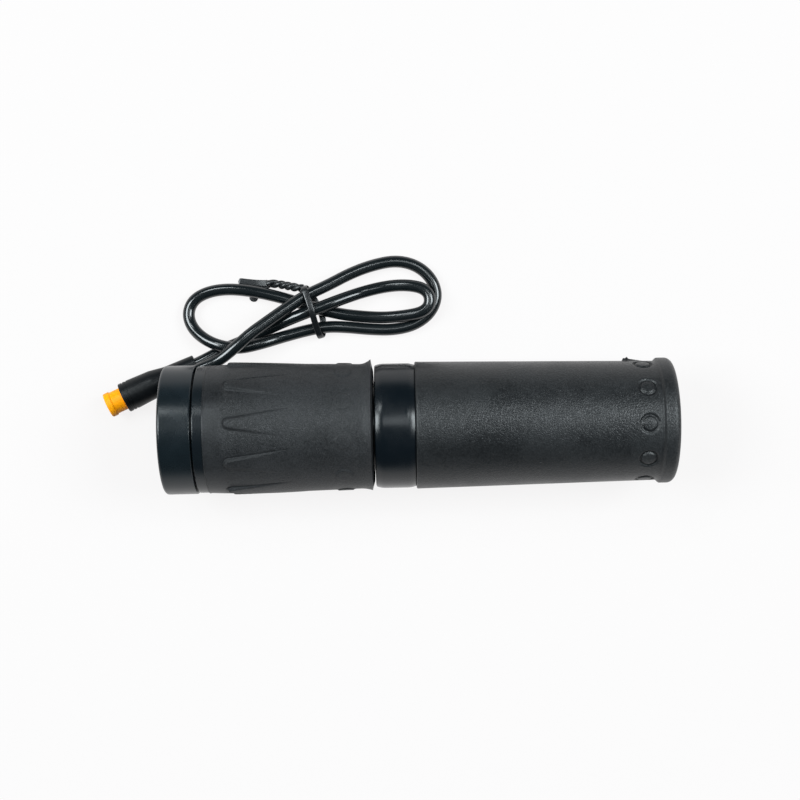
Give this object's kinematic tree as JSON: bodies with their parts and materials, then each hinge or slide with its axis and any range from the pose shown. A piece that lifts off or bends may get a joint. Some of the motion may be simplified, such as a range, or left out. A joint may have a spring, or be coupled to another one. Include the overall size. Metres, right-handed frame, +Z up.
{
  "type": "half twist throttle",
  "caption": "Spring-returned half twist throttle with a fixed housing ring, a rubber twist grip, a fixed outer grip and a looped lead that ends in a round connector.",
  "frame": {"origin": "on the handlebar axis, at the housing's inboard face where the bar enters", "axes": "+X along the bar to its outer end, +Y away from the rider, +Z up"},
  "size_m": [0.1615, 0.0678, 0.0376],
  "materials": {
    "housing_plastic": "satin moulded",
    "twist_plastic": "satin moulded",
    "twist_rubber": "fine leather grain",
    "grip_rubber": "fine leather grain",
    "gloss_collar": "polished",
    "cord_jacket": "smooth jacket",
    "connector_black": "satin overmould",
    "connector_orange": "satin moulded",
    "seal_rubber": "smooth",
    "spring_steel": "drawn wire",
    "screw_steel": "black oxide",
    "insert_brass": "turned",
    "board_green": "solder mask",
    "sensor_black": "moulded",
    "grommet_rubber": "smooth",
    "washer_plastic": "smooth",
    "ring_steel": "stamped",
    "tie_black": "covered wire",
    "wire_red": "insulated",
    "wire_black": "insulated",
    "wire_green": "insulated",
    "magnet_plate": "nickel plated",
    "contact_brass": "gold flash"
  },
  "bodies": {
    "fixed": {"throttle_housing": "housing_plastic", "grip_rubber": "grip_rubber", "grip_sleeve": "gloss_collar", "cord": "cord_jacket", "connector_body": "connector_black", "connector_insert": "connector_orange", "connector_seal": "seal_rubber", "return_spring": "spring_steel", "set_screw": "screw_steel", "screw_insert": "insert_brass", "sensor_board": "board_green", "hall_sensor": "sensor_black", "cable_grommet": "grommet_rubber", "thrust_washer": "washer_plastic", "retaining_ring": "ring_steel", "twist_tie": "tie_black", "lead_wire_1": "wire_red", "lead_wire_2": "wire_black", "lead_wire_3": "wire_green", "contact_1": "contact_brass", "contact_2": "contact_brass", "contact_3": "contact_brass"},
    "twist": {"twist_tube": "twist_plastic", "twist_rubber": "twist_rubber", "magnet_1": "magnet_plate", "magnet_2": "magnet_plate"}
  },
  "joints": [
    {"name": "twist", "type": "hinge", "parent": "fixed", "child": "twist", "pos_m": [0.03, 0, 0], "axis": [1, 0, 0], "range_deg": [0, 70], "stiffness_Nm_per_rad": 0.08, "springref_deg": -34.38, "deforming": ["return_spring"]}
  ]
}
